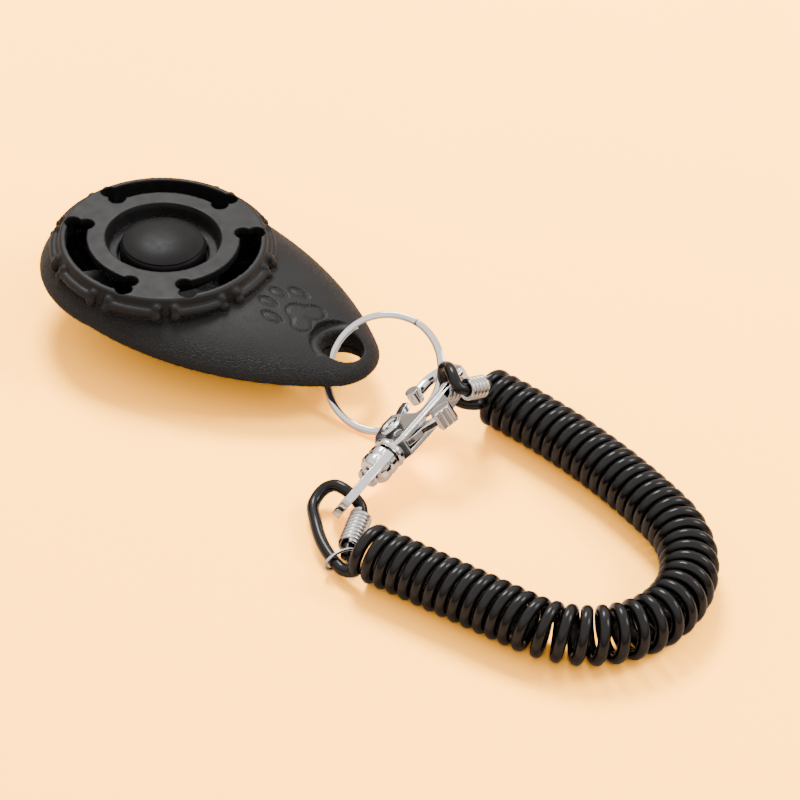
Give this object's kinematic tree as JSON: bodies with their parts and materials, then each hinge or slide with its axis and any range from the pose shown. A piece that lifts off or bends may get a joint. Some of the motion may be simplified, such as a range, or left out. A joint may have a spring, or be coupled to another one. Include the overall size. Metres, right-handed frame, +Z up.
{
  "type": "clicker trainer",
  "caption": "Teardrop push-button training clicker on a split ring, with a trigger snap and a coiled wrist cord.",
  "frame": {"origin": "on the resting plane under the push button's axis", "axes": "+X from the button towards the tail hole, +Z up out of the button, +Y to the far side"},
  "size_m": [0.1384, 0.0633, 0.0174],
  "materials": {
    "body_plastic": "black grained plastic",
    "button_plastic": "black satin plastic",
    "inner_plastic": "dark grey plastic",
    "spring_steel": "sprung steel",
    "screw_steel": "zinc-plated steel",
    "chrome": "polished chrome plating",
    "cord_rubber": "glossy black cord"
  },
  "bodies": {
    "housing": {"upper_shell": "body_plastic", "lower_shell": "body_plastic", "reed_holder": "inner_plastic", "reed_screw": "screw_steel", "case_screw_1": "screw_steel", "case_screw_2": "screw_steel", "case_screw_3": "screw_steel"},
    "button": {"button_cap": "button_plastic"},
    "reed": {"click_reed": "spring_steel"},
    "ring": {"split_ring": "chrome"},
    "clasp": {"clasp_body": "chrome", "lever_pin": "spring_steel", "lever_spring": "spring_steel", "swivel_rivet": "spring_steel"},
    "lever": {"clasp_lever": "chrome"},
    "swivel": {"swivel_eye": "chrome"},
    "coil": {"wrist_coil": "cord_rubber", "near_cord_crimp": "spring_steel", "near_cord_band": "spring_steel", "far_cord_crimp": "spring_steel"}
  },
  "joints": [
    {"name": "button_press", "type": "slide", "parent": "housing", "child": "button", "axis": [0, 0, -1], "range_m": [0, 0.0012], "stiffness_N_per_m": 400},
    {"name": "reed_snap", "type": "hinge", "parent": "housing", "child": "reed", "pos_m": [-0.0055, -0.00953, 0.0086], "axis": [-0.866, 0.5, 0], "range_deg": [0, 7]},
    {"name": "ring_swing", "type": "hinge", "parent": "housing", "child": "ring", "pos_m": [0.037, 0, 0.0076], "axis": [0, 0, 1], "range_deg": [-12, 12]},
    {"name": "clasp_slide", "type": "hinge", "parent": "ring", "child": "clasp", "pos_m": [0.0453, 0.0002, 0.00762], "axis": [0, -0.6691, 0.7431], "range_deg": [-10, 10]},
    {"name": "lever_pull", "type": "hinge", "parent": "clasp", "child": "lever", "pos_m": [0.05729, -0.01295, 0.00751], "axis": [0.5223, 0.1684, -0.8359], "range_deg": [0, 14], "stiffness_Nm_per_rad": 0.01},
    {"name": "coil_swing", "type": "hinge", "parent": "clasp", "child": "coil", "pos_m": [0.05576, -0.02698, 0.00373], "axis": [0.1306, 0.9529, 0.2736], "range_deg": [-8, 4]},
    {"name": "swivel_spin", "type": "hinge", "parent": "clasp", "child": "swivel", "pos_m": [0.05625, -0.0202, 0.0054], "axis": [0.07, 0.9685, 0.2389], "range_deg": [-9, 5]}
  ],
  "couplings": [
    {"joint": "reed_snap", "follows": "button_press", "rad_per_m": 92},
    {"joint": "swivel_spin", "follows": "coil_swing", "ratio": 1}
  ]
}
